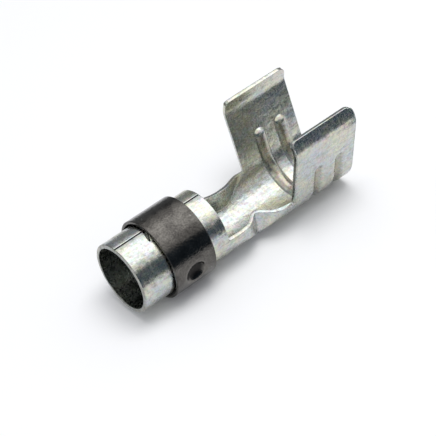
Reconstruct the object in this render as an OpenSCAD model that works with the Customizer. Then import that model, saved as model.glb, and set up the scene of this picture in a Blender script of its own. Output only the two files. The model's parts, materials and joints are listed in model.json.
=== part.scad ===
// Spark plug terminal: a folded steel socket with an open lead crimp,
// and a spring ring whose dimple holds the socket on the plug's nut.
// The barrel's axis runs along X from the mouth, and the crimp opens upwards.

/* [Sheet] */
// Thickness of the steel sheet that the terminal is folded from
sheet_t = 0.4; // [0.3:0.05:0.6]

/* [Socket barrel] */
// Diameter of the plug's terminal nut
nut_d = 6.35; // [5:0.05:8]
// Room between the nut and the barrel's wall, all round
nut_clearance = 0.075; // [0.05:0.005:0.2]
// Length of the rolled barrel
barrel_len = 10.2; // [9:0.1:13]
// Width of the open seam along the top
seam_gap = 0.12; // [0.05:0.01:0.5]
// Bevel on the edges of the barrel's two ends
barrel_bevel = 0.08; // [0.02:0.01:0.12]
// Distance of the slit's open end from the mouth
slit_x = 3.64; // [2:0.02:6]
// Length of the slit that runs off the seam
slit_len = 1.5; // [0.5:0.1:2.5]
// Width of the slit at the seam
slit_w = 0.2; // [0.05:0.01:0.4]
// Angle by which the slit leans towards the mouth
slit_lean = 20; // [0:1:40]

/* [Neck] */
// Length of the open neck between the barrel and the wings
neck_len = 7.8; // [6:0.1:12]
// Place of the waist, behind the barrel
waist_x = 4.2; // [3:0.1:5]
// Depth of the pinch at the waist, on the dimple's side
pinch_near = 1.15; // [0.65:0.05:1.35]
// Length of the pinch on the dimple's side
pinch_near_len = 4; // [3.6:0.1:5]
// Depth of the pinch at the waist, on the far side
pinch_far = 0.9; // [0.65:0.05:1.35]
// Length of the pinch on the far side
pinch_far_len = 5; // [3.6:0.1:5]
// How much nearer to the barrel the pinch lies on the far side
pinch_far_lead = 0.4; // [0:0.1:0.5]
// Depth of the neck's edges below the barrel's axis, at the barrel
neck_drop_front = 0.1; // [0.05:0.05:1]
// Depth of the neck's edges below the barrel's axis, at the wings
neck_drop_rear = 0.7; // [0.3:0.05:1.2]
// Thinning of each face of the sheet where the neck is drawn
neck_draw = 0.04; // [0.03:0.005:0.06]

/* [Lead crimp] */
// Diameter of the lead that the crimp is folded around
lead_d = 7; // [5:0.1:9]
// Room between the lead and the crimp's floor, all round
lead_clearance = 0.2; // [0:0.05:0.5]
// Length of the crimp along the lead
crimp_len = 7.7; // [6:0.1:12]
// Height of the crimp's underside above the barrel's
crimp_lift = 0.1; // [0:0.05:0.4]
// Outward lean of the wings
wing_lean = 13; // [4:1:17]
// Length of the straight part of a wing
wing_wall = 5.75; // [3:0.05:8]
// Outer radius of the bend below a wing's tip
tip_bend_r = 2; // [1:0.1:3]
// Angle by which a wing's tip is turned inwards
tip_bend = 29; // [5:1:40]
// Length of a wing's straight tip
tip_len = 1.2; // [0.8:0.1:3]
// Corner radius of the wings at the front
wing_corner_front = 0.6; // [0.2:0.1:1.2]
// Corner radius of the wings at the rear
wing_corner_rear = 1; // [0.2:0.1:1.5]

/* [Grip beads] */
// Number of beads pressed in across the crimp
bead_count = 2; // [1:1:2]
// Distance of the first bead from the crimp's front edge
bead_first = 3.1; // [2:0.05:4]
// Distance between the beads
bead_pitch = 2.65; // [2.3:0.05:3]
// Depth of the groove that a bead leaves on the outside
bead_depth = 0.4; // [0.15:0.05:0.5]
// Radius of the groove's round floor
bead_r = 0.6; // [0.5:0.05:0.8]
// Length of the beads up the straight part of a wing
bead_rise = 2.2; // [0.5:0.1:3]

/* [Spring ring] */
// Distance of the ring from the mouth
ring_x = 3.4; // [2:0.1:4]
// Width of the ring
ring_w = 4.7; // [3.6:0.1:5.2]
// Thickness of the ring's spring steel
ring_t = 0.3; // [0.2:0.05:0.5]
// Room between the barrel and the ring
ring_clearance = 0.2; // [0.05:0.05:0.4]
// Open gap between the ring's ends, at the bottom
ring_gap = 2.4; // [1:0.1:4]
// Bevel on the ring's edges
ring_bevel = 0.06; // [0.02:0.01:0.1]
// Radius of the hollow of the ring's dimple
dimple_r = 1.3; // [1.1:0.05:1.5]
// How far the dimple stands into the socket
dimple_reach = 0.2; // [0.05:0.01:0.22]
// Angle of the dimple below the side of the barrel
dimple_drop = 10; // [0:1:30]
// Room around the dimple in its hole through the barrel
dimple_clearance = 0.1; // [0.05:0.01:0.3]

/* [Hidden] */
$fn = 96;

// Radii of the barrel, the ring and the crimp's round floor
bore_r = nut_d / 2 + nut_clearance;
barrel_r = bore_r + sheet_t;
ring_inner_r = barrel_r + ring_clearance;
ring_r = ring_inner_r + ring_t;
crimp_r = lead_d / 2 + lead_clearance + sheet_t;

// Places along and above the barrel's axis
crimp_x = barrel_len + neck_len;
crimp_end_x = crimp_x + crimp_len;
crimp_z = crimp_r - barrel_r + crimp_lift;
ring_mid_x = ring_x + ring_w / 2;

// Arcs that the seam and the ring's gap leave open
seam_angle = 2 * asin(seam_gap / 2 / barrel_r);
ring_gap_angle = 2 * asin(ring_gap / 2 / ring_r);

// Centre of the dimple's two round faces, and the hole that lets it through
dimple_centre = bore_r - dimple_reach + ring_t + dimple_r;
dimple_outer_r = dimple_r + ring_t;
dimple_hole_r = sqrt(pow(dimple_outer_r, 2) - pow(dimple_centre - barrel_r, 2)) + dimple_clearance;

// Middle line of a bead's groove, outside the crimp's wall
bead_path_r = crimp_r + bead_r - bead_depth;
ridge_step = 0.02;

// Rise and taper of the neck, and how far its ends lie inside the walls that it joins
neck_rise = atan(crimp_z / neck_len);
neck_taper = (crimp_r - barrel_r) / neck_len;
neck_root = 0.3;

// Top of the wings, from the lean of the wall, the bend and the tip
wing_top_z = crimp_z
    + (crimp_r - tip_bend_r) * sin(-wing_lean) + wing_wall * cos(wing_lean)
    + tip_bend_r * sin(tip_bend - wing_lean) + tip_len * cos(tip_bend - wing_lean);

// Reach of the tools that cut right through a wall
cut_over = 1;
floor_over = 5;
bend_steps = 8;

function mix(a, b, k) = a + (b - a) * k;

function arc(centre, r, from, to, steps = bend_steps) =
    [for (i = [0:steps]) let(a = mix(from, to, i / steps)) centre + r * [cos(a), sin(a)]];

// Rectangle from the low to the high corner with bevelled corners
function bevelled(low, high, bevel) = [
    [low[0] + bevel, low[1]],
    [high[0] - bevel, low[1]],
    [high[0], low[1] + bevel],
    [high[0], high[1] - bevel],
    [high[0] - bevel, high[1]],
    [low[0] + bevel, high[1]],
    [low[0], high[1] - bevel],
    [low[0], low[1] + bevel]
];

// Outline of one face of a wing, from the end of the beads to the tip
function wing_face(inset) =
    let(turn = arc([crimp_r - tip_bend_r, wing_wall], tip_bend_r - inset, 0, tip_bend))
    concat(
        [[crimp_r - inset, bead_rise]],
        turn,
        [turn[bend_steps] + tip_len * [-sin(tip_bend), cos(tip_bend)]]
    );

// Turns a flat YZ outline or a path in it so that its own Z runs along X
module along_x(x) {
    translate([x, 0, 0]) rotate([90, 0, 90]) children();
}

// Sheet or band rolled about the barrel's axis, with an open gap at the bottom
module rolled(section, gap_angle) {
    rotate([0, 90, 0])
        rotate([0, 0, gap_angle / 2])
            rotate_extrude(angle = 360 - gap_angle) polygon(section);
}

module along_dimple() {
    translate([ring_mid_x, 0, 0]) rotate([90 + dimple_drop, 0, 0]) children();
}

module slit() {
    translate([slit_x, 0, 0])
        rotate([0, 0, -slit_lean])
            linear_extrude(barrel_r + cut_over)
                polygon([[-slit_w / 2, seam_gap], [slit_w / 2, seam_gap], [0, -slit_len]]);
}

module barrel() {
    difference() {
        rotate([180, 0, 0])
            rolled(bevelled([bore_r, 0], [barrel_r, barrel_len], barrel_bevel), seam_angle);
        slit();
        along_dimple() cylinder(r = dimple_hole_r, h = barrel_r + cut_over);
    }
}

// Round tool that pinches one side of the neck in at a place, by a depth and over a length
module pinch(x, side, depth, reach, inset) {
    pinch_r = (pow(reach / 2, 2) + pow(depth, 2)) / (2 * depth);
    translate([barrel_len + x, side * (barrel_r - depth + pinch_r), -2 * barrel_r])
        cylinder(r = pinch_r + inset, h = 4 * barrel_r);
}

// Solid inside a face of the neck's sheet: a tapered floor with a waist pinched in from both sides
module neck_fill(inset) {
    start_r = barrel_r - inset - neck_taper * cut_over;
    reach = neck_len + 2 * cut_over;
    difference() {
        translate([barrel_len, 0, 0])
            rotate([0, 90 - neck_rise, 0])
                translate([0, 0, -cut_over])
                    cylinder(r1 = start_r, r2 = start_r + neck_taper * reach, h = reach);
        pinch(waist_x, -1, pinch_near, pinch_near_len, inset);
        pinch(waist_x - pinch_far_lead, 1, pinch_far, pinch_far_len, inset);
    }
}

// Side outline of the neck, with its edges falling from the waist to the wings
module neck_side() {
    start_x = barrel_len - neck_root;
    end_x = crimp_x + neck_root;
    floor_z = -barrel_r - cut_over;
    rotate([90, 0, 0])
        linear_extrude(4 * crimp_r, center = true)
            polygon([
                [start_x, floor_z],
                [end_x, floor_z],
                [end_x, -neck_drop_rear],
                [crimp_x, -neck_drop_rear],
                [barrel_len + waist_x, -neck_drop_front],
                [start_x, -neck_drop_front]
            ]);
}

module neck() {
    intersection() {
        difference() {
            neck_fill(neck_draw);
            neck_fill(sheet_t - neck_draw);
        }
        neck_side();
    }
}

// Carries a shape to the foot of a wing, with X out of its face, Y up it and Z along the crimp
module at_wing_foot() {
    along_x(crimp_x) translate([0, crimp_z]) rotate([0, 0, -wing_lean]) children();
}

module both_sides() {
    children();
    mirror([0, 1, 0]) children();
}

// Lengthwise section of the crimp's wall with its pressed beads, X out and Y along the crimp
module wall_section() {
    beads = [for (i = [0:bead_count - 1]) [bead_path_r, bead_first + i * bead_pitch]];
    difference() {
        union() {
            translate([crimp_r - sheet_t, 0]) square([sheet_t, crimp_len]);
            intersection() {
                for (b = beads) translate(b) circle(bead_r + sheet_t);
                square([crimp_r - sheet_t / 2, crimp_len]);
            }
        }
        for (b = beads) translate(b) circle(bead_r);
    }
}

// Section of the arch that the sheet makes over a groove, rooted in the middle of the wall
module ridge_section() {
    difference() {
        circle(bead_r + sheet_t);
        circle(bead_r + ridge_step);
        translate([-sheet_t / 2 - bead_r + bead_depth, -2 * bead_r]) square(4 * bead_r);
    }
}

// Round end of a bead's ridge, turned about the line out of the wing's face
module ridge_end() {
    rotate([0, 90, 0])
        rotate([0, 0, 90])
            rotate_extrude(angle = -180)
                intersection() {
                    rotate([0, 0, 90]) ridge_section();
                    translate([0, -2 * bead_r]) square(4 * bead_r);
                }
}

module at_bead_ends() {
    for (i = [0:bead_count - 1])
        translate([bead_path_r, bead_rise, bead_first + i * bead_pitch]) children();
}

// Side outline of the crimp with its rounded wing corners
module crimp_side() {
    front = wing_corner_front;
    rear = wing_corner_rear;
    floor_z = -barrel_r - cut_over;
    rotate([90, 0, 0])
        linear_extrude(4 * crimp_r, center = true)
            polygon(concat(
                [[crimp_end_x, floor_z]],
                arc([crimp_end_x - rear, wing_top_z - rear], rear, 0, 90),
                arc([crimp_x + front, wing_top_z - front], front, 90, 180),
                [[crimp_x, floor_z]]
            ));
}

// Half of the crimp's round floor, from the foot of a wing to the middle plane
module half_floor() {
    intersection() {
        at_wing_foot() rotate_extrude(angle = wing_lean - 90 - floor_over) wall_section();
        translate([crimp_x - cut_over, 0, -2 * crimp_r])
            cube([crimp_len + 2 * cut_over, 2 * crimp_r, 4 * crimp_r]);
    }
}

// Lower part of a wing, as far up as the beads run
module wing_foot() {
    at_wing_foot()
        translate([0, bead_rise, 0])
            rotate([90, 0, 0])
                linear_extrude(bead_rise) wall_section();
}

// Upper part of a wing, with the round ends of the beads and the inturned tip
module wing_top() {
    outer = wing_face(0);
    inner = wing_face(sheet_t);
    difference() {
        intersection() {
            at_wing_foot()
                translate([0, 0, -cut_over])
                    linear_extrude(crimp_len + 2 * cut_over)
                        polygon(concat(outer, [for (i = [len(inner) - 1:-1:0]) inner[i]]));
            crimp_side();
        }
        at_wing_foot() at_bead_ends() sphere(bead_r);
    }
    at_wing_foot() at_bead_ends() ridge_end();
}

module crimp() {
    both_sides() {
        half_floor();
        wing_foot();
        wing_top();
    }
}

module terminal() {
    color([0.72, 0.73, 0.71]) {
        barrel();
        neck();
        crimp();
    }
}

module spring_ring() {
    band = bevelled([ring_inner_r, ring_x], [ring_r, ring_x + ring_w], ring_bevel);
    color([0.13, 0.12, 0.12])
        difference() {
            union() {
                rolled(band, ring_gap_angle);
                intersection() {
                    along_dimple() translate([0, 0, dimple_centre]) sphere(dimple_outer_r);
                    rotate([0, 90, 0]) cylinder(r = ring_r - ring_t / 2, h = barrel_len);
                }
            }
            along_dimple() translate([0, 0, dimple_centre]) sphere(dimple_r);
        }
}

terminal();
spring_ring();
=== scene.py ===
"""Looks of a spark plug terminal: a folded, zinc plated strip with a black spring ring on its socket."""

import json
import math
from typing import NamedTuple

import bmesh
import bpy
import numpy as np
from bpy.props import FloatProperty, FloatVectorProperty, IntProperty, PointerProperty
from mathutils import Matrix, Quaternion, Vector


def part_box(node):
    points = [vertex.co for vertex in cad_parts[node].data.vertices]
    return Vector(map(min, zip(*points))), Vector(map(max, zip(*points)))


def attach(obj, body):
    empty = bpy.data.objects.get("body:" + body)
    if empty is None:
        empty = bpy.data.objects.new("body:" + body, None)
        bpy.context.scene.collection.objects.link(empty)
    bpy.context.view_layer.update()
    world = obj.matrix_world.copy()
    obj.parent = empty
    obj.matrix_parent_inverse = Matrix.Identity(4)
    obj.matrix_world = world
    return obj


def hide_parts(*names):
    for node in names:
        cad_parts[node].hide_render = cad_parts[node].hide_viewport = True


bl_info = {
    "name": "Spark plug terminal",
    "version": (1, 0, 0),
    "blender": (4, 5, 0),
    "location": "View3D > Sidebar > Terminal",
    "description": "Builds the folded terminal, its spring ring and a small white studio",
    "category": "Object",
}

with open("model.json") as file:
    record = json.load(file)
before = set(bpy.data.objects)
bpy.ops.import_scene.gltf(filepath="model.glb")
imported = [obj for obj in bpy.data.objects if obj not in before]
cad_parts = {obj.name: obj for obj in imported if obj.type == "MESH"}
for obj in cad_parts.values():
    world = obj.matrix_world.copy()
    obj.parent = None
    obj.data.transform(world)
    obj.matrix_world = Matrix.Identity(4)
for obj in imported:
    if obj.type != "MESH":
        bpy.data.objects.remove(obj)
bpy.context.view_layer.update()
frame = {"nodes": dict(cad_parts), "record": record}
MM = 0.001
SOCKET = next(m for m in frame["record"]["mounts"] if m["name"] == "socket")["dims"]
SHEET_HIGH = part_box("terminal")[1]
RING_LOW, RING_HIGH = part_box("spring_ring")
# How far the crimp's rear edge stays inside the solid's
REAR_INSET = 0.01 * MM
# Number of faces across each rounded corner of a cut edge
EDGE_STEPS = 3
# Corners of the dark cards in front, in millimetres: place along the part, distance before it, height
FRONT_CARD = ((-42, 25, 27), (13, 25, 27), (28, 29, 22), (36, 29, 18), (70, 29, 18))
SIDE_CARD = ((29.2, 10.5, 8), (70, 10.5, 8))
# Number of flat strips in the half round card behind
CARD_STEPS = 32
# Width of the picture on which the lens is measured, in millimetres
FILM_WIDTH = 36.0
# How many times nearer and farther than the part the camera can see
CLIP_RANGE = 100


# Properties that the panel shows


def length(name, default, description):
    """Property for a length in metres."""
    return FloatProperty(name=name, description=description, default=default, unit="LENGTH", precision=5)


def angle(name, degrees, description):
    """Property for an angle, given in degrees."""
    return FloatProperty(name=name, description=description, default=math.radians(degrees), subtype="ANGLE")


def share(name, default, description):
    """Property for a plain number."""
    return FloatProperty(name=name, description=description, default=default)


def position(name, millimetres, description):
    """Property for a point, given in millimetres."""
    default = [c * MM for c in millimetres]
    return FloatVectorProperty(name=name, description=description, default=default, size=3, subtype="XYZ")


def colour(name, default, description):
    """Property for a colour."""
    return FloatVectorProperty(
        name=name, description=description, default=default, size=3, subtype="COLOR", min=0, max=1
    )


class SheetSizes(bpy.types.PropertyGroup):
    """Sizes of the folded sheet."""

    sheet_t: length("Sheet", 0.4 * MM, "Thickness of the folded sheet")
    edge_round: length("Edge rounding", 0.05 * MM, "Radius of the sheet's cut edges")
    edge_lean: angle("Edge slant", 8, "Slant that the shears leave on the sheet's cut edges")
    bore_r: length("Bore radius", SOCKET["r_mm"] * MM, "Inner radius of the barrel")
    barrel_len: length("Barrel length", SOCKET["length_mm"] * MM, "Length of the rolled barrel")
    seam_gap: length("Seam", 0.05 * MM, "Width of the open seam on top of the barrel")
    slit_x: length("Slit place", 3.6 * MM, "Distance of the slit from the mouth, at the seam")
    slit_len: length("Slit length", 1.3 * MM, "Length of the slit that runs off the seam")
    slit_w: length("Slit width", 0.36 * MM, "Width of the slit at the seam")
    slit_lean: angle("Slit lean", 20, "Lean of the slit towards the mouth")
    slit_spread: share("Slit spread", 0.6, "How far beside the slit its lean fades, in slit lengths")
    slit_shut: share("Slit closing", 0.85, "Share of its width that the slit loses by its end")
    hole_r: length("Hole radius", 1.35 * MM, "Radius of the hole that the ring's dimple goes through")
    neck_len: length("Neck length", 7.8 * MM, "Length of the open neck")
    waist_x: length("Waist place", 4.2 * MM, "Distance of the waist from the barrel")
    pinch_near: length("Near pinch", 1.15 * MM, "Depth of the waist's pinch on the dimple's side")
    pinch_near_reach: length("Near reach", 1.3 * MM, "Length over which the near pinch runs out")
    pinch_near_round: length("Near rounding", 0.35 * MM, "Rounding of the near pinch at its deepest place")
    pinch_far: length("Far pinch", 0.84 * MM, "Depth of the waist's pinch on the far side")
    pinch_far_lead: length("Far lead", 0.4 * MM, "How much nearer to the barrel the far pinch lies")
    pinch_far_reach: length("Far reach", 2.9 * MM, "Length over which the far pinch runs out, more gently")
    pinch_soft: length("Pinch softness", 0.35 * MM, "Width over which the pinches run into the round floor")
    drop_front: length("Front drop", 0.1 * MM, "Depth of the neck's edges below the axis, at the barrel")
    drop_rear: length("Rear drop", 0.7 * MM, "Depth of the neck's edges below the axis, at the wings")
    crimp_r: length("Crimp radius", 4.1 * MM, "Outer radius of the crimp's round floor")
    crimp_z: length("Crimp height", 0.55 * MM, "Height of the crimp's axis above the barrel's")
    crimp_end: length("Crimp end", SHEET_HIGH.x - REAR_INSET, "Place of the crimp's rear edge")
    wing_lean: angle("Wing lean", 13, "Outward lean of the wings")
    wing_wall: length("Wing wall", 5.74 * MM, "Length of the straight part of a wing")
    tip_bend_r: length("Tip bend radius", 2.0 * MM, "Outer radius of the bend below a wing's tip")
    tip_bend: angle("Tip bend", 29, "Angle by which a wing's tip is turned in")
    tip_len: length("Tip length", 1.2 * MM, "Length of a wing's tip")
    tip_roll: angle("Tip roll", 4, "Further turn over the length of the tip")
    corner_front: length("Front corner", 0.6 * MM, "Corner radius of the wings at the front")
    corner_rear: length("Rear corner", 1.0 * MM, "Corner radius of the wings at the rear")
    bead_count: IntProperty(name="Beads", description="Number of beads across the crimp", default=2)
    bead_first: length("First bead", 3.1 * MM, "Distance of the first bead from the crimp's front edge")
    bead_pitch: length("Bead pitch", 2.65 * MM, "Distance between the beads")
    bead_depth: length("Bead depth", 0.4 * MM, "Depth to which a bead is pressed in")
    bead_r: length("Bead radius", 0.45 * MM, "Radius of a bead's hollow and of its rim, outside")
    bead_rise: length("Bead rise", 2.2 * MM, "Length of the beads up the straight part of a wing")
    mesh_step: length("Mesh step", 0.15 * MM, "Size of the mesh's cells")
    crimp_step: length("Crimp step", 0.0825 * MM, "Size of the mesh's cells along the crimp")
    wing_step: length("Wing step", 0.1275 * MM, "Size of the mesh's cells up the wings")

    @property
    def barrel_r(self):
        """Outer radius of the barrel."""
        return self.bore_r + self.sheet_t

    @property
    def seam_angle(self):
        """Angle of a seam edge from the bottom of the barrel."""
        return math.pi - math.asin(self.seam_gap / 2 / self.barrel_r)

    @property
    def crimp_x(self):
        """Place of the crimp's front edge."""
        return self.barrel_len + self.neck_len

    @property
    def bead_places(self):
        """Places of the beads' middle lines along the part."""
        return [self.crimp_x + self.bead_first + i * self.bead_pitch for i in range(self.bead_count)]

    @property
    def wing_path(self):
        """Path from the bottom of the crimp to a wing's tip, as lengths and the angles they turn through."""
        floor_turn = math.pi / 2 - self.wing_lean
        return (
            (self.crimp_r * floor_turn, floor_turn),
            (self.wing_wall, 0.0),
            (self.tip_bend_r * self.tip_bend, self.tip_bend),
            (self.tip_len, self.tip_roll),
        )

    @property
    def wing_reach(self):
        """Whole length of the path up to a wing's tip."""
        return sum(stretch for stretch, _ in self.wing_path)

    @property
    def wing_foot(self):
        """Length of the path up to the neck's edge, where a wing stands free."""
        return self.crimp_r * round_section(self, self.crimp_x)[2]


class RingSizes(bpy.types.PropertyGroup):
    """Sizes of the spring ring."""

    ring_x: length("Ring place", RING_LOW.x, "Distance of the ring from the mouth")
    ring_w: length("Ring width", RING_HIGH.x - RING_LOW.x, "Width of the ring")
    ring_r: length("Ring radius", RING_HIGH.y, "Outer radius of the ring")
    ring_t: length("Ring sheet", 0.3 * MM, "Thickness of the ring's spring steel")
    ring_gap: length("Ring gap", 2.4 * MM, "Open gap between the ring's ends, at the bottom")
    edge_round: length("Edge rounding", 0.06 * MM, "Radius of the ring's edges")
    dimple_r: length("Dimple radius", 1.3 * MM, "Radius of the dimple's hollow")
    dimple_centre: length("Dimple centre", 4.65 * MM, "Distance of the hollow's centre from the axis")
    dimple_drop: angle("Dimple drop", 10, "Angle of the dimple below the side of the barrel")
    rim_soft: length("Rim softness", 0.07 * MM, "Width over which the dimple's rim is rounded")
    mesh_step: length("Mesh step", 0.13 * MM, "Size of the mesh's cells")

    @property
    def mid_x(self):
        """Place of the ring's middle along the part."""
        return self.ring_x + self.ring_w / 2

    @property
    def dimple_angle(self):
        """Angle of the dimple from the bottom of the barrel, towards the near side."""
        return -(math.pi / 2 - self.dimple_drop)

    @property
    def dimple_bottom(self):
        """Deepest point of the dimple's hollow, in millimetres."""
        deep = self.dimple_centre - self.dimple_r
        y = deep * math.sin(self.dimple_angle)
        z = -deep * math.cos(self.dimple_angle)
        return self.mid_x / MM, y / MM, z / MM


class Finish(bpy.types.PropertyGroup):
    """Colours and gloss of the two finishes."""

    zinc_cool: colour("Cool zinc", (0.545, 0.58, 0.59), "Colour of the plating's cool patches")
    zinc_warm: colour("Warm zinc", (0.66, 0.655, 0.52), "Colour of the plating's yellowish patches")
    zinc_rose: colour("Rose zinc", (0.63, 0.56, 0.53), "Colour of the plating's rose patches")
    zinc_grain: colour("Zinc grain", (0.33, 0.36, 0.36), "Colour of the plating's dull marks")
    # Colour of the real stains, and also of the painted shade along the beads
    zinc_stain_and_shade: colour("Zinc stain", (0.36, 0.33, 0.27), "Colour of the plating's brownish stains")
    # Painted shade: the mouth's cut edge is painted darker
    zinc_mouth_shade: colour("Cut edge", (0.22, 0.21, 0.19), "Colour of the dull cut edge at the mouth")
    # Painted shade: the bore's wall is painted darker
    zinc_bore_shade: colour("Dull bore", (0.3, 0.325, 0.31), "Colour of the plating deep in the bore")
    zinc_tint: share("Zinc tint", 0.52, "Strength of the fine coloured mottling")
    zinc_rough: share("Zinc roughness", 0.2, "Roughness of the brightest plating")
    zinc_dull: share("Zinc dulling", 0.2, "Roughness that the dull marks add")
    zinc_relief: length("Zinc relief", 0.034 * MM, "Height of the unevenness of the sheet")
    # Painted shade: strength of the darker colour painted on the bore's wall
    bore_painted_shade: share("Bore dulling", 0.6, "Strength of the dull colour in the bore")
    # Painted shade: strength of the darker colour painted along the beads
    bead_painted_shade: share("Bead dirt", 0.7, "Strength of the stain along the beads")
    # Painted shade in the seam, the slit and the dimple: its strength and its colour
    painted_shade_strength: share("Soot strength", 0.9, "Strength of the soot in the seam, the slit and the dimple")
    painted_shade: colour("Soot", (0.02, 0.019, 0.019), "Colour of the dirt in the seam, the slit and the dimple")
    oxide: colour("Black oxide", (0.05, 0.047, 0.044), "Colour of the ring's black finish")
    # This colour of the thin black finish also serves as the painted highlight on the dimple's rim
    oxide_worn_and_highlight: colour("Worn oxide", (0.185, 0.176, 0.162), "Colour of the black finish where it is thin")
    oxide_speck: colour("Bare speck", (0.5, 0.49, 0.47), "Colour of the small specks of bare steel")
    oxide_rough: share("Oxide roughness", 0.1, "Roughness of the black finish")
    oxide_relief: length("Oxide relief", 0.006 * MM, "Height of the grain in the black finish")


class Studio(bpy.types.PropertyGroup):
    """Camera, floor and light."""

    azimuth: angle("Azimuth", -33.06, "Side that the camera stands on")
    elevation: angle("Elevation", 40.59, "Height of the camera above the horizon")
    roll: angle("Roll", 10.88, "Tilt of the picture")
    distance: length("Distance", 163.7 * MM, "Distance of the camera from the point that it looks at")
    look_at: position("Look at", (9.66, -3.24, 2.87), "Point in the middle of the picture")
    lens: share("Lens", 146.6, "Focal length on a 36 mm wide picture, in millimetres")
    floor_size: length("Floor size", 900 * MM, "Width of the floor")
    floor_colour: colour("Floor colour", (0.93, 0.93, 0.93), "Colour of the floor")
    box_size: length("Soft box size", 170 * MM, "Width of the soft box, which only reflections show")
    box_at: position("Soft box place", (82, 0, 150), "Place of the soft box")
    box_glow: share("Soft box glow", 1.0, "Brightness that the soft box adds to the white behind it")
    fill_size: length("Fill size", 150 * MM, "Width of the fill lamp, which no reflection shows")
    fill_at: position("Fill place", (40, -30, 260), "Place of the fill lamp")
    fill_glow: share("Fill", 5.9, "Brightness of the fill lamp")
    ambient: colour("Ambient", (0.58, 0.59, 0.62), "Light that comes from all round onto the floor")
    front_card: colour("Front card", (0.06, 0.083, 0.11), "Colour of the cards in front")
    back_card: colour("Back card", (0.24, 0.25, 0.26), "Colour of the half round card behind")
    back_card_r: length("Back card radius", 45 * MM, "Distance of the card behind")
    back_card_h: length("Back card height", 40 * MM, "Height of the card behind")


class TerminalSettings(bpy.types.PropertyGroup):
    """Everything that the panel shows."""

    sheet: PointerProperty(type=SheetSizes)
    ring: PointerProperty(type=RingSizes)
    finish: PointerProperty(type=Finish)
    studio: PointerProperty(type=Studio)


# Shapes


def clamp(value, low=0.0, high=1.0):
    """Value kept between low and high."""
    return min(max(value, low), high)


def lerp(a, b, k):
    """Value that goes from a to b as k goes from 0 to 1."""
    return a + (b - a) * k


def smooth_min(a, b, soft):
    """Smaller of a and b, with the change from one to the other spread over soft."""
    k = clamp(0.5 + 0.5 * (b - a) / soft)
    return lerp(b, a, k) - soft * k * (1 - k)


def steps_for(span, step):
    """Number of cells of about a step's size in a span."""
    return max(1, round(span / step))


def spread(start, end, step):
    """Even places from start to end, about a step apart."""
    return list(np.linspace(start, end, steps_for(end - start, step) + 1))


def walk(path, distance):
    """Point, and heading as an angle, after a distance along a path that starts level at the origin."""
    y = z = heading = 0.0
    for stretch, turn in path:
        part = clamp(distance, 0.0, stretch)
        bend = turn * part / stretch
        chord = part * math.sin(bend / 2) / (bend / 2) if bend else part
        y += chord * math.cos(heading + bend / 2)
        z += chord * math.sin(heading + bend / 2)
        heading += bend
        distance -= part
    return y, z, heading


def round_section(sheet, x):
    """Radius, centre height and edge angle of the round floor at x."""
    k = clamp((x - sheet.barrel_len) / sheet.neck_len)
    waist = sheet.barrel_len + sheet.waist_x
    radius = lerp(sheet.barrel_r, sheet.crimp_r, k)
    centre = lerp(0.0, sheet.crimp_z, k)
    drop = lerp(sheet.drop_front, sheet.drop_rear, clamp((x - waist) / (sheet.crimp_x - waist)))
    return radius, centre, math.acos((centre + drop) / radius)


def pinched_width(sheet, x, radius, near):
    """Half width that the near or the far pinch leaves at x, of a floor with a radius."""
    off = x - sheet.barrel_len - sheet.waist_x
    if near:
        depth = sheet.pinch_near
        fall = (math.hypot(off, sheet.pinch_near_round) - sheet.pinch_near_round) / sheet.pinch_near_reach
    else:
        depth = sheet.pinch_far
        fall = ((off + sheet.pinch_far_lead) / sheet.pinch_far_reach) ** 2
    return lerp(radius + sheet.pinch_soft, sheet.barrel_r - depth, math.exp(-fall))


def floor_point(sheet, x, part):
    """Point of the barrel's lower half or the neck, where part runs from -1 to 1 between the two edges."""
    radius, centre, edge = round_section(sheet, x)
    turn = part * edge
    y = radius * abs(math.sin(turn))
    if x > sheet.barrel_len:
        y = max(smooth_min(y, pinched_width(sheet, x, radius, turn < 0), sheet.pinch_soft), 0.0)
    return x, math.copysign(y, turn), centre - radius * math.cos(turn)


def beside_slit(sheet, x, from_seam):
    """Place of a mesh line near the slit: it leans and closes with it, and straightens past its end."""
    reach = clamp(from_seam / sheet.slit_len)
    fade = clamp(2 - from_seam / sheet.slit_len)
    off = x - sheet.slit_x
    near = math.exp(-((off / (sheet.slit_len * sheet.slit_spread)) ** 2))
    lean = math.tan(sheet.slit_lean) * sheet.slit_len * reach * fade * near
    shut = reach * fade * clamp(2 - 2 * abs(off) / sheet.slit_w)
    return x - lean - off * sheet.slit_shut * shut


def round_corner(along, up, radius):
    """Moves a place in a square corner, both distances from the edges, so that the corner is round."""
    u = clamp(1 - along / radius)
    v = clamp(1 - up / radius)
    du = u - u * math.sqrt(1 - v * v / 2)
    dv = v - v * math.sqrt(1 - u * u / 2)
    return along + du * radius, up + dv * radius


def bead_press(sheet, off):
    """Depth of a bead at a distance from its middle line: a round hollow that runs into a round rim."""
    lean = math.acos(1 - sheet.bead_depth / (2 * sheet.bead_r))
    half = sheet.bead_r * math.sin(lean)
    if off < half:
        return sheet.bead_depth - sheet.bead_r + math.sqrt(sheet.bead_r**2 - off**2)
    rest = max(2 * half - off, 0.0)
    return sheet.bead_r - math.sqrt(sheet.bead_r**2 - rest**2)


def wing_point(sheet, x, path):
    """Point of the crimp's outer face at x and a path from its bottom, negative on the near side."""
    up = sheet.wing_reach - abs(path)
    front, up = round_corner(x - sheet.crimp_x, up, sheet.corner_front)
    rear, up = round_corner(sheet.crimp_end - sheet.crimp_x - front, up, sheet.corner_rear)
    x = sheet.crimp_end - rear
    path_now = sheet.wing_reach - up
    y, z, heading = walk(sheet.wing_path, path_now)
    bead_top = sheet.wing_path[0][0] + sheet.bead_rise
    past_top = max(path_now - bead_top, 0.0)
    pressed = sum(bead_press(sheet, math.hypot(x - bead_x, past_top)) for bead_x in sheet.bead_places)
    y -= pressed * math.sin(heading)
    z += pressed * math.cos(heading) + sheet.crimp_z - sheet.crimp_r
    return x, math.copysign(y, path), z


def cell_corners(i, j):
    """Keys of the four points of a mesh cell, in order around it."""
    return (i, j), (i, j + 1), (i + 1, j + 1), (i + 1, j)


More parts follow.
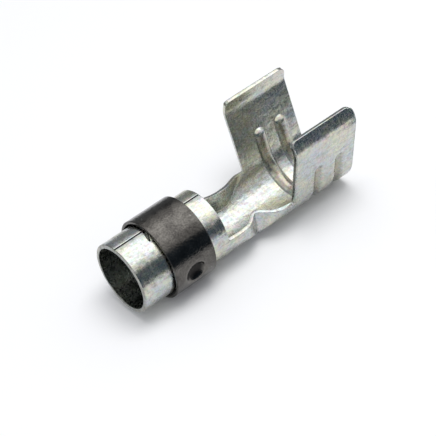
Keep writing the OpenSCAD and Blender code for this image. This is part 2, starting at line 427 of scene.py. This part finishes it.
class GridFace:
    """Points and quads of an outer face, each point made once for its column and row."""

    def __init__(self):
        self.points = []
        self.quads = []
        self.index = {}

    def add(self, key, point):
        """Adds a point under the numbers of its column and row."""
        self.index[key] = len(self.points)
        self.points.append(point)

    def fill(self, columns, rows, skip=()):
        """Adds the cells of a block of columns and rows, but for the skipped ones."""
        for i in columns:
            for j in rows:
                if (i, j) not in skip:
                    self.quads.append([self.index[c] for c in cell_corners(i, j)])


class Columns(NamedTuple):
    """Places of the mesh lines along the part, and the numbers of those where its shape changes."""

    places: list
    slit: int
    barrel_end: int
    crimp_start: int
    last: int


def terminal_columns(sheet):
    """Mesh lines from the mouth of the barrel to the crimp's rear edge."""
    places = spread(0.0, sheet.slit_x - sheet.slit_w / 2, sheet.mesh_step)
    slit = len(places) - 1
    places += spread(sheet.slit_x + sheet.slit_w / 2, sheet.barrel_len, sheet.mesh_step)
    barrel_end = len(places) - 1
    places += spread(sheet.barrel_len, sheet.crimp_x, sheet.mesh_step)[1:]
    crimp_start = len(places) - 1
    places += spread(sheet.crimp_x, sheet.crimp_end, sheet.crimp_step)[1:]
    return Columns(places, slit, barrel_end, crimp_start, len(places) - 1)


def add_floor(face, sheet, columns, half):
    """Adds the barrel's lower half, the neck and the crimp's floor, in rows from -half to half."""
    foot = sheet.wing_foot
    for i, x in enumerate(columns.places):
        for j in range(-half, half + 1):
            if i <= columns.crimp_start:
                face.add((i, j), floor_point(sheet, x, j / half))
            else:
                face.add((i, j), wing_point(sheet, x, foot * j / half))


def add_barrel_top(face, sheet, columns, half):
    """Adds the barrel's upper half, past the rows of the floor, and gives its number of rows on a side."""
    edge = round_section(sheet, 0.0)[2]
    rows = steps_for((sheet.seam_angle - edge) * sheet.barrel_r, sheet.mesh_step)
    for side in (-1, 1):
        for k in range(1, rows + 1):
            turn = lerp(edge, sheet.seam_angle, k / rows)
            from_seam = (sheet.seam_angle - turn) * sheet.barrel_r
            y = side * sheet.barrel_r * math.sin(turn)
            z = -sheet.barrel_r * math.cos(turn)
            for i, x in enumerate(columns.places[: columns.barrel_end + 1]):
                along = beside_slit(sheet, x, from_seam) if side < 0 else x
                face.add((i, side * (half + k)), (along, y, z))
    return rows


def add_wings(face, sheet, columns, half):
    """Adds both wings, past the rows of the floor, and gives their number of rows."""
    foot = sheet.wing_foot
    rows = steps_for(sheet.wing_reach - foot, sheet.wing_step)
    for side in (-1, 1):
        for k in range(1, rows + 1):
            path = side * lerp(foot, sheet.wing_reach, k / rows)
            for i in range(columns.crimp_start, columns.last + 1):
                face.add((i, side * (half + k)), wing_point(sheet, columns.places[i], path))
    return rows


def dimple_hole(face, sheet, ring, columns):
    """Cells of the barrel that the dimple's hole takes out; the points around it move onto its edge."""
    off = {}
    for (i, j), index in face.index.items():
        x, y, z = face.points[index]
        turn = math.atan2(y, -z) - ring.dimple_angle
        if i <= columns.barrel_end and abs(turn) < math.pi / 2:
            along = x - ring.mid_x
            across = sheet.barrel_r * math.sin(turn)
            off[i, j] = (along, across, math.hypot(along, across))
    taken = set()
    for cell in off:
        corners = cell_corners(*cell)
        if all(c in off for c in corners):
            if sum(off[c][2] for c in corners) / len(corners) < sheet.hole_r:
                taken.add(cell)
    for i, j in {c for cell in taken for c in cell_corners(*cell)}:
        around = {(i - a, j - b) for a in (0, 1) for b in (0, 1)}
        if not around <= taken:
            along, across, reach = off[i, j]
            turn = math.asin(across * sheet.hole_r / reach / sheet.barrel_r) + ring.dimple_angle
            x = ring.mid_x + along * sheet.hole_r / reach
            y = sheet.barrel_r * math.sin(turn)
            face.points[face.index[i, j]] = (x, y, -sheet.barrel_r * math.cos(turn))
    return taken


def terminal_face(sheet, ring):
    """Outer face of the folded sheet, from the mouth of the barrel to the wings."""
    face = GridFace()
    columns = terminal_columns(sheet)
    half = steps_for(sheet.barrel_r * math.pi / 2, sheet.mesh_step)
    add_floor(face, sheet, columns, half)
    top = half + add_barrel_top(face, sheet, columns, half)
    tip = half + add_wings(face, sheet, columns, half)
    slit_rows = round(sheet.slit_len / sheet.mesh_step)
    skipped = {(columns.slit, j) for j in range(-top, slit_rows - top)}
    skipped |= dimple_hole(face, sheet, ring, columns)
    face.fill(range(columns.barrel_end), range(-top, top), skipped)
    face.fill(range(columns.barrel_end, columns.crimp_start), range(-half, half))
    face.fill(range(columns.crimp_start, columns.last), range(-tip, tip))
    return face


def ring_point(ring, x, turn):
    """Point of the ring's outer face at x and an angle from the bottom."""
    off = turn - ring.dimple_angle
    across = ring.ring_r * math.sin(off)
    height = ring.ring_r * math.cos(off)
    if height > 0:
        away = math.hypot(x - ring.mid_x, across)
        hollow = ring.dimple_centre - math.sqrt(max(ring.dimple_r**2 - away**2, 0.0))
        height = smooth_min(height, hollow, ring.rim_soft)
    out_y = math.sin(ring.dimple_angle)
    out_z = -math.cos(ring.dimple_angle)
    return x, height * out_y - across * out_z, height * out_z + across * out_y


def ring_face(ring):
    """Outer face of the spring ring, with its dimple pressed in."""
    gap = math.asin(ring.ring_gap / 2 / ring.ring_r)
    columns = steps_for(ring.ring_w, ring.mesh_step)
    rows = steps_for((2 * math.pi - 2 * gap) * ring.ring_r, ring.mesh_step)
    face = GridFace()
    for i in range(columns + 1):
        x = ring.ring_x + ring.ring_w * i / columns
        for j in range(rows + 1):
            turn = lerp(gap - 2 * math.pi, -gap, j / rows)
            face.add((i, j), ring_point(ring, x, turn))
    face.fill(range(columns), range(rows))
    return face


def face_arrays(face):
    """Points, normals and quads of an outer face, its edges, and the ways out of the sheet there."""
    shell = bmesh.new()
    made = [shell.verts.new(p) for p in face.points]
    for quad in face.quads:
        shell.faces.new([made[i] for i in quad])
    for vert in [v for v in shell.verts if not v.link_faces]:
        shell.verts.remove(vert)
    shell.verts.index_update()
    shell.normal_update()
    spots = np.array([v.co for v in shell.verts])
    normals = np.array([v.normal for v in shell.verts])
    quads = [[v.index for v in f.verts] for f in shell.faces]
    outwards = np.zeros_like(spots)
    rims = []
    for edge in shell.edges:
        if edge.is_boundary:
            loop = edge.link_loops[0]
            a = loop.vert
            b = loop.link_loop_next.vert
            side = (b.co - a.co).cross(loop.face.normal).normalized()
            outwards[a.index] += side
            outwards[b.index] += side
            rims.append((a.index, b.index))
    shell.free()
    size = np.linalg.norm(outwards, axis=1, keepdims=True)
    ways_out = np.divide(outwards, size, out=np.zeros_like(outwards), where=size > 0)
    return spots, normals, quads, rims, ways_out


def edge_profile(thickness, edge_round):
    """Turns and depths of the points across a cut edge, round its outer corner and then its inner one."""
    turns = [k / EDGE_STEPS * math.pi / 2 for k in range(1, EDGE_STEPS + 1)]
    outer = [(turn, edge_round * (1 - math.cos(turn))) for turn in turns]
    inner = [(turn, thickness - depth) for turn, depth in reversed(outer)]
    return outer + inner


def closed_sheet(name, face, thickness, edge_round, edge_lean=0.0):
    """Object of a sheet from its outer face, with rounded cut edges that slant back towards the outside."""
    spots, normals, quads, rims, ways_out = face_arrays(face)
    pull = edge_round * ways_out
    slant = math.tan(edge_lean) * ways_out
    count = len(spots)
    verts = [*(spots - pull - thickness * slant), *(spots - pull - thickness * normals)]
    ladder = {}
    for i in sorted({i for rim in rims for i in rim}):
        rungs = [i]
        for turn, depth in edge_profile(thickness, edge_round):
            back = pull[i] * (1 - math.sin(turn)) + (thickness - depth) * slant[i]
            rungs.append(len(verts))
            verts.append(spots[i] - back - depth * normals[i])
        ladder[i] = [*rungs, i + count]
    faces = quads + [[i + count for i in reversed(quad)] for quad in quads]
    for a, b in rims:
        for k in range(len(ladder[a]) - 1):
            faces.append([ladder[b][k], ladder[a][k], ladder[a][k + 1], ladder[b][k + 1]])
    mesh = bpy.data.meshes.new(name)
    mesh.from_pydata([tuple(v) for v in verts], [], faces)
    mesh.shade_smooth()
    piece = bpy.data.objects.new(name, mesh)
    bpy.context.scene.collection.objects.link(piece)
    return piece


# Finishes


class Pattern(NamedTuple):
    """Noise over a surface, at a scale per millimetre, with each axis scaled by a stretch first.

    Its values from low to high become a mask from 0 to 1. The shares say how much the mask shades the
    colour, dulls the metal and raises it.
    """

    scale: float
    detail: float
    low: float = 0.0
    high: float = 1.0
    shade: float = 1.0
    dull: float = 0.0
    relief: float = 0.0
    stretch: tuple = (1, 1, 1)


# How strongly the finer layers of every pattern show
NOISE_ROUGHNESS = 0.55
# Patterns of the zinc plating, with their shares in its colour, roughness and relief
PATCHES = Pattern(scale=0.5, detail=2.0, low=0.36, high=0.66)
BLUSH = Pattern(scale=0.83, detail=2.0, low=0.5, high=0.72, shade=0.75)
STAINS = Pattern(scale=2.7, detail=4.0, low=0.5, high=0.68, shade=0.45)
STREAKS = Pattern(
    scale=4.5, detail=3.0, low=0.42, high=0.72, shade=0.35, dull=0.3, relief=0.07, stretch=(0.2, 1, 1)
)
ROLLED = Pattern(
    scale=4.2, detail=3.0, low=0.36, high=0.7, shade=0.1, dull=0.35, relief=0.12, stretch=(1, 0.28, 0.28)
)
MOTTLE = Pattern(scale=1.9, detail=4.0, low=0.4, high=0.7, shade=0.15, dull=0.35, relief=0.2)
PITS = Pattern(scale=5.5, detail=2.0, low=0.52, high=0.7, shade=0.4)
TINTS = Pattern(scale=4.0, detail=2.0, stretch=(0.45, 1, 1))
WAVES = Pattern(scale=0.9, detail=1.0)
# Where the painted shade in the bore fades: past the bore's radius and before the barrel's end, in
# millimetres
BORE_FADE = (0.05, 0.25)
BORE_END_FADE = 0.6
# Where the painted shade in the seam and the slit fades: below the outer face and above the axis, in
# millimetres
SEAM_SHADE_DEPTHS = (0.15, 0.02)
SEAM_SHADE_HEIGHTS = (2.9, 3.2)
# Where the painted shade along the beads fades: before and past their middle lines and above the axis, in
# millimetres
BEAD_SHADE_FRONT = (-0.65, -0.4)
BEAD_SHADE_REAR = (0.1, 0.6)
BEAD_SHADE_TOP = (1.5, 2.2)
# Width of the painted shade on the cut edge at the mouth, in millimetres
MOUTH_SHADE_WIDTH = 0.2
# Share of the mouth's painted shade that follows the mottling
MOUTH_SHADE_MOTTLE = 0.5
# Patterns of the black finish, with their shares in its colour and roughness
CLOUD = Pattern(scale=0.8, detail=3.0, low=0.35, high=0.7, shade=0.35, dull=0.05)
GRAIN = Pattern(scale=6.0, detail=3.0, low=0.3, high=0.7, shade=0.4, dull=0.06)
SPECKS = Pattern(scale=2.6, detail=1.0, low=0.76, high=0.81)
# Where the dimple's painted shade fades and the painted highlight on its rim starts and ends, from its
# bottom, in millimetres
DIMPLE_SHADE = (0.85, 1.2)
RIM_START = (1.1, 1.3)
RIM_END = (1.35, 1.7)
# Shares of the rim's painted highlight in the colour and of the dimple's painted shade in the roughness
RIM_HIGHLIGHT = 0.35
DIMPLE_SHADE_DULL = 0.15
# Numbers of a Mix node's two colour inputs and of its colour output
COLOUR_A = 6
COLOUR_B = 7
COLOUR_OUT = 2


class Value:
    """Socket of a shader, whose operators add Math nodes, so that shader maths reads as an expression."""

    def __init__(self, graph, socket):
        self.graph = graph
        self.socket = socket

    def math(self, operation, *operands):
        """Adds a Math node."""
        return self.graph.node("ShaderNodeMath", {"operation": operation}, dict(enumerate(operands)))

    def __add__(self, other):
        return self.math("ADD", self, other)

    def __sub__(self, other):
        return self.math("SUBTRACT", self, other)

    def __rsub__(self, other):
        return self.math("SUBTRACT", other, self)

    def __mul__(self, other):
        return self.math("MULTIPLY", self, other)

    __radd__ = __add__
    __rmul__ = __mul__

    def between(self, low, high):
        """Rises smoothly from 0 to 1 as the value goes from low to high."""
        settings = {"interpolation_type": "SMOOTHSTEP"}
        sockets = {"Value": self, "From Min": low, "From Max": high}
        return self.graph.node("ShaderNodeMapRange", settings, sockets)


def rgba(value):
    """A plain colour with its alpha, or a link as it is."""
    return value if isinstance(value, Value) else (*value, 1.0)


class Graph:
    """Nodes of one material or of the world."""

    def __init__(self, owner):
        owner.use_nodes = True
        self.tree = owner.node_tree
        self.tree.nodes.clear()

    def node(self, kind, settings, sockets, output=0):
        """Adds a node with its settings and the values or links of its sockets, and returns one output."""
        made = self.tree.nodes.new(kind)
        for name, setting in settings.items():
            setattr(made, name, setting)
        for name, value in sockets.items():
            if isinstance(value, Value):
                self.tree.links.new(value.socket, made.inputs[name])
            else:
                made.inputs[name].default_value = value
        return Value(self, made.outputs[output]) if len(made.outputs) else None

    def mix(self, factor, low, high):
        """Colour between two colours."""
        settings = {"data_type": "RGBA"}
        sockets = {"Factor": factor, COLOUR_A: rgba(low), COLOUR_B: rgba(high)}
        return self.node("ShaderNodeMix", settings, sockets, COLOUR_OUT)

    def tint(self, strength, base, tints):
        """Base colour shaded by a mottling of tints about mid grey."""
        settings = {"data_type": "RGBA", "blend_type": "SOFT_LIGHT"}
        sockets = {"Factor": strength, COLOUR_A: base, COLOUR_B: tints}
        return self.node("ShaderNodeMix", settings, sockets, COLOUR_OUT)

    def place(self, stretch=(1, 1, 1)):
        """Object coordinates in millimetres, each axis scaled by a stretch."""
        where = self.node("ShaderNodeTexCoord", {}, {}, output="Object")
        scale = tuple(s / MM for s in stretch)
        return self.node("ShaderNodeVectorMath", {"operation": "MULTIPLY"}, {0: where, 1: scale})

    def along(self, axis):
        """One object coordinate in millimetres."""
        return self.node("ShaderNodeSeparateXYZ", {}, {"Vector": self.place()}, output=axis)

    def distance(self, where, spot):
        """Distance of a place from a spot, both in millimetres."""
        settings = {"operation": "DISTANCE"}
        return self.node("ShaderNodeVectorMath", settings, {0: where, 1: spot}, output="Value")

    def noise(self, pattern, output="Fac"):
        """Fractal noise of a pattern, from 0 to 1 or as a colour."""
        sockets = {
            "Vector": self.place(pattern.stretch),
            "Scale": pattern.scale,
            "Detail": pattern.detail,
            "Roughness": NOISE_ROUGHNESS,
        }
        return self.node("ShaderNodeTexNoise", {"noise_dimensions": "3D"}, sockets, output)

    def mask(self, pattern):
        """Noise of a pattern, from 0 at its low value to 1 at its high one."""
        return self.noise(pattern).between(pattern.low, pattern.high)


def metal(base, roughness, height, distance):
    """Metal with a colour, roughness and height that vary over the surface."""
    graph = base.graph
    bump = graph.node("ShaderNodeBump", {}, {"Strength": 1.0, "Distance": distance, "Height": height})
    sockets = {"Base Color": base, "Metallic": 1.0, "Roughness": roughness, "Normal": bump}
    shader = graph.node("ShaderNodeBsdfPrincipled", {}, sockets)
    graph.node("ShaderNodeOutputMaterial", {}, {"Surface": shader})


def below_radius(graph, low, high):
    """Mask of what is near the barrel's axis, which fades from a low to a high radius in millimetres."""
    from_axis = graph.distance(graph.place((0, 1, 1)), (0.0, 0.0, 0.0))
    return 1.0 - from_axis.between(low, high)


def bore_mask(graph, sheet):
    """Mask of the bore's wall, which fades through the sheet and before the barrel's end."""
    low, high = (sheet.bore_r / MM + fade for fade in BORE_FADE)
    barrel_end = sheet.barrel_len / MM
    behind = graph.along("X").between(barrel_end - BORE_END_FADE, barrel_end)
    return below_radius(graph, low, high) * (1.0 - behind)


def seam_shade_mask(graph, sheet):
    """Mask of the painted shade on the barrel's top below its outer face, with the cut faces of the seam and
    the slit.
    """
    low, high = (sheet.barrel_r / MM - depth for depth in SEAM_SHADE_DEPTHS)
    return below_radius(graph, low, high) * graph.along("Z").between(*SEAM_SHADE_HEIGHTS)


def bead_shade_mask(graph, sheet):
    """Mask of the painted shade along the beads, which fades towards their rear flank and their top."""
    x = graph.along("X")
    offs = [x - bead_x / MM for bead_x in sheet.bead_places]
    painted_shading = sum(off.between(*BEAD_SHADE_FRONT) * (1.0 - off.between(*BEAD_SHADE_REAR)) for off in offs)
    return painted_shading * (1.0 - graph.along("Z").between(*BEAD_SHADE_TOP))


def zinc_plating(finish, sheet):
    """Bright zinc plating with coloured patches, dull marks and stains, and painted shade in bore, seam,
    slit, beads and mouth edge.
    """
    material = bpy.data.materials.new("zinc_plating")
    graph = Graph(material)
    marks = {mark: graph.mask(mark) for mark in (STREAKS, MOTTLE, ROLLED, PITS)}
    shade = sum(mask * mark.shade for mark, mask in marks.items())
    dull = sum(mask * mark.dull for mark, mask in marks.items())
    height = sum(mask * mark.relief for mark, mask in marks.items()) + graph.noise(WAVES)
    inside = bore_mask(graph, sheet)
    mouth = 1.0 - graph.along("X").between(0.0, MOUTH_SHADE_WIDTH)
    base = graph.mix(graph.mask(PATCHES), finish.zinc_cool, finish.zinc_warm)
    base = graph.mix(graph.mask(BLUSH) * BLUSH.shade, base, finish.zinc_rose)
    base = graph.mix(shade, base, finish.zinc_grain)
    base = graph.mix(graph.mask(STAINS) * STAINS.shade * (1.0 - inside), base, finish.zinc_stain_and_shade)
    # Painted shade along the beads' front flanks
    base = graph.mix(bead_shade_mask(graph, sheet) * finish.bead_painted_shade, base, finish.zinc_stain_and_shade)
    base = graph.tint(finish.zinc_tint, base, graph.noise(TINTS, "Color"))
    # Painted shade on the mouth's cut edge, partly mottled
    base = graph.mix(mouth * (marks[MOTTLE] * MOUTH_SHADE_MOTTLE + (1.0 - MOUTH_SHADE_MOTTLE)), base, finish.zinc_mouth_shade)
    # Painted shade on the bore's wall
    base = graph.mix(inside * finish.bore_painted_shade, base, finish.zinc_bore_shade)
    # Painted shade in the seam and the slit, below the outer face
    base = graph.mix(seam_shade_mask(graph, sheet) * (1.0 - mouth) * finish.painted_shade_strength, base, finish.painted_shade)
    metal(base, dull * finish.zinc_dull + finish.zinc_rough, height, finish.zinc_relief)
    return material


def black_oxide(finish, ring):
    """Satin black finish of the spring ring, thin in places, with bare specks, painted shade in the dimple
    and a painted highlight on its rim.
    """
    material = bpy.data.materials.new("black_oxide")
    graph = Graph(material)
    marks = {mark: graph.mask(mark) for mark in (CLOUD, GRAIN)}
    from_dimple = graph.distance(graph.place(), ring.dimple_bottom)
    # Painted shade in the dimple's hollow
    painted_shading = 1.0 - from_dimple.between(*DIMPLE_SHADE)
    # Painted highlight on the dimple's rim
    rim = from_dimple.between(*RIM_START) * (1.0 - from_dimple.between(*RIM_END))
    wear_and_highlight = sum(mask * mark.shade for mark, mask in marks.items()) + rim * RIM_HIGHLIGHT
    dull = sum(mask * mark.dull for mark, mask in marks.items()) + painted_shading * DIMPLE_SHADE_DULL
    base = graph.mix(wear_and_highlight, finish.oxide, finish.oxide_worn_and_highlight)
    base = graph.mix(graph.mask(SPECKS), base, finish.oxide_speck)
    base = graph.mix(painted_shading * finish.painted_shade_strength, base, finish.painted_shade)
    metal(base, dull + finish.oxide_rough, marks[GRAIN], finish.oxide_relief)
    return material


def plain(name, tint):
    """Matt surface for the floor."""
    material = bpy.data.materials.new(name)
    graph = Graph(material)
    shader = graph.node("ShaderNodeBsdfDiffuse", {}, {"Color": rgba(tint)})
    graph.node("ShaderNodeOutputMaterial", {}, {"Surface": shader})
    return material


def glowing(name, tint):
    """Surface of one even brightness, for the cards."""
    material = bpy.data.materials.new(name)
    graph = Graph(material)
    shader = graph.node("ShaderNodeEmission", {}, {"Color": rgba(tint), "Strength": 1.0})
    graph.node("ShaderNodeOutputMaterial", {}, {"Surface": shader})
    return material


# Pieces


class TERMINAL_OT_fold_sheet(bpy.types.Operator):
    """Fold the zinc plated sheet: barrel, neck and wings"""

    bl_idname = "terminal.fold_sheet"
    bl_label = "Fold the sheet"

    def execute(self, context):
        settings = context.scene.spark_terminal
        sheet = settings.sheet
        face = terminal_face(sheet, settings.ring)
        piece = closed_sheet("folded_sheet", face, sheet.sheet_t, sheet.edge_round, sheet.edge_lean)
        piece.data.materials.append(zinc_plating(settings.finish, sheet))
        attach(piece, "root")
        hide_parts("terminal")
        return {"FINISHED"}


class TERMINAL_OT_fit_ring(bpy.types.Operator):
    """Fit the black spring ring around the barrel"""

    bl_idname = "terminal.fit_ring"
    bl_label = "Fit the ring"

    def execute(self, context):
        settings = context.scene.spark_terminal
        ring = settings.ring
        piece = closed_sheet("sprung_band", ring_face(ring), ring.ring_t, ring.edge_round)
        piece.data.materials.append(black_oxide(settings.finish, ring))
        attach(piece, "root")
        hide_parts("spring_ring")
        return {"FINISHED"}


# Stage


def lay_floor(studio, sheet):
    """Pale floor through the ring's lower edges and the crimp's rear edge, on which the part rests."""
    terminal = frame["nodes"]["terminal"].data
    crimp_low = min(v.co.z for v in terminal.vertices if v.co.x > sheet.crimp_x)
    tilt = math.atan2(crimp_low - RING_LOW.z, SHEET_HIGH.x - RING_HIGH.x)
    mesh = bpy.data.meshes.new("floor")
    shape = bmesh.new()
    bmesh.ops.create_grid(shape, x_segments=1, y_segments=1, size=studio.floor_size / 2)
    shape.to_mesh(mesh)
    shape.free()
    floor = bpy.data.objects.new("floor", mesh)
    floor.location = (RING_HIGH.x, 0, RING_LOW.z)
    floor.rotation_euler = (0, -tilt, 0)
    mesh.materials.append(plain("floor_white", studio.floor_colour))
    bpy.context.scene.collection.objects.link(floor)


def hang_card(name, tint, foot):
    """Upright card, which only reflections show, over the points of its foot, each with a height."""
    low = [(x, y, RING_LOW.z) for x, y, _ in foot]
    high = [(x, y, RING_LOW.z + height) for x, y, height in foot]
    count = len(foot)
    faces = [(k, k + 1, k + 1 + count, k + count) for k in range(count - 1)]
    mesh = bpy.data.meshes.new(name)
    mesh.from_pydata(low + high, [], faces)
    mesh.materials.append(glowing(name, tint))
    card = bpy.data.objects.new(name, mesh)
    bpy.context.scene.collection.objects.link(card)
    card.visible_camera = False
    card.visible_diffuse = False
    card.visible_shadow = False


def hang_cards(studio):
    """Dark cards in front and off the crimp's near corner, and a half round one behind."""
    for name, corners in (("front_card", FRONT_CARD), ("side_card", SIDE_CARD)):
        foot = [(x * MM, -y * MM, height * MM) for x, y, height in corners]
        hang_card(name, studio.front_card, foot)
    mid_x = SHEET_HIGH.x / 2
    far = studio.back_card_r
    turns = [math.pi * k / CARD_STEPS for k in range(CARD_STEPS + 1)]
    back = [(mid_x + far * math.cos(t), far * math.sin(t), studio.back_card_h) for t in turns]
    hang_card("back_card", studio.back_card, back)


def area_lamp(name, size, at, glow):
    """Square lamp whose face has a given brightness, turned to the middle of the part."""
    lamp = bpy.data.lights.new(name, "AREA")
    lamp.shape = "SQUARE"
    lamp.size = size
    lamp.energy = glow * math.pi * size**2
    holder = bpy.data.objects.new(name, lamp)
    holder.location = at
    holder.rotation_mode = "QUATERNION"
    middle = Vector((SHEET_HIGH.x / 2, 0.0, 0.0))
    holder.rotation_quaternion = (middle - Vector(at)).to_track_quat("-Z", "Y")
    bpy.context.scene.collection.objects.link(holder)
    return holder


def hang_lamps(studio):
    """Soft box that only reflections show, and a lamp for the matt floor that none of them shows."""
    box = area_lamp("soft_box", studio.box_size, studio.box_at, studio.box_glow)
    box.visible_diffuse = False
    fill = area_lamp("fill", studio.fill_size, studio.fill_at, studio.fill_glow)
    fill.visible_glossy = False


def light_world(studio):
    """Even light from all round; the camera and the metal see white."""
    world = bpy.data.worlds.new("white_studio")
    graph = Graph(world)
    kinds = ("Is Camera Ray", "Is Glossy Ray", "Is Transmission Ray")
    seen = sum(graph.node("ShaderNodeLightPath", {}, {}, output=kind) for kind in kinds)
    tint = graph.mix(seen, studio.ambient, (1.0, 1.0, 1.0))
    back = graph.node("ShaderNodeBackground", {}, {"Color": tint, "Strength": 1.0})
    graph.node("ShaderNodeOutputWorld", {}, {"Surface": back})
    bpy.context.scene.world = world


def set_camera(studio):
    """Camera at the picture's own angle."""
    level = math.cos(studio.elevation)
    back = Vector((
        math.sin(studio.azimuth) * level,
        -math.cos(studio.azimuth) * level,
        math.sin(studio.elevation),
    ))
    lens = bpy.data.cameras.new("camera")
    lens.lens = studio.lens
    lens.sensor_width = FILM_WIDTH
    lens.clip_start = studio.distance / CLIP_RANGE
    lens.clip_end = studio.distance * CLIP_RANGE
    camera = bpy.data.objects.new("camera", lens)
    camera.location = Vector(studio.look_at) + back * studio.distance
    camera.rotation_mode = "QUATERNION"
    camera.rotation_quaternion = (-back).to_track_quat("-Z", "Y") @ Quaternion((0, 0, 1), -studio.roll)
    bpy.context.scene.collection.objects.link(camera)
    bpy.context.scene.camera = camera


class TERMINAL_OT_set_stage(bpy.types.Operator):
    """Lay the floor, hang the cards and lamps and set the camera"""

    bl_idname = "terminal.set_stage"
    bl_label = "Set the stage"

    def execute(self, context):
        settings = context.scene.spark_terminal
        studio = settings.studio
        lay_floor(studio, settings.sheet)
        hang_cards(studio)
        hang_lamps(studio)
        light_world(studio)
        set_camera(studio)
        context.scene.view_settings.view_transform = "Standard"
        return {"FINISHED"}


# Panel and registration


class TERMINAL_PT_panel(bpy.types.Panel):
    """Sizes, finishes and steps of the terminal"""

    bl_idname = "TERMINAL_PT_panel"
    bl_label = "Spark plug terminal"
    bl_space_type = "VIEW_3D"
    bl_region_type = "UI"
    bl_category = "Terminal"

    def draw(self, context):
        settings = context.scene.spark_terminal
        for group in (settings.sheet, settings.ring, settings.finish, settings.studio):
            box = self.layout.box()
            for name in group.__annotations__:
                box.prop(group, name)
        for step in STEPS:
            self.layout.operator(step.bl_idname)


STEPS = (TERMINAL_OT_fold_sheet, TERMINAL_OT_fit_ring, TERMINAL_OT_set_stage)
CLASSES = (SheetSizes, RingSizes, Finish, Studio, TerminalSettings, *STEPS, TERMINAL_PT_panel)


def register():
    """Makes the classes and the settings known to Blender."""
    for cls in CLASSES:
        bpy.utils.register_class(cls)
    bpy.types.Scene.spark_terminal = PointerProperty(type=TerminalSettings)


def unregister():
    """Takes the settings and the classes out again."""
    del bpy.types.Scene.spark_terminal
    for cls in reversed(CLASSES):
        bpy.utils.unregister_class(cls)


def main():
    """Builds the terminal and its stage."""
    register()
    bpy.ops.terminal.fold_sheet()
    bpy.ops.terminal.fit_ring()
    bpy.ops.terminal.set_stage()


if __name__ == "__main__":
    main()
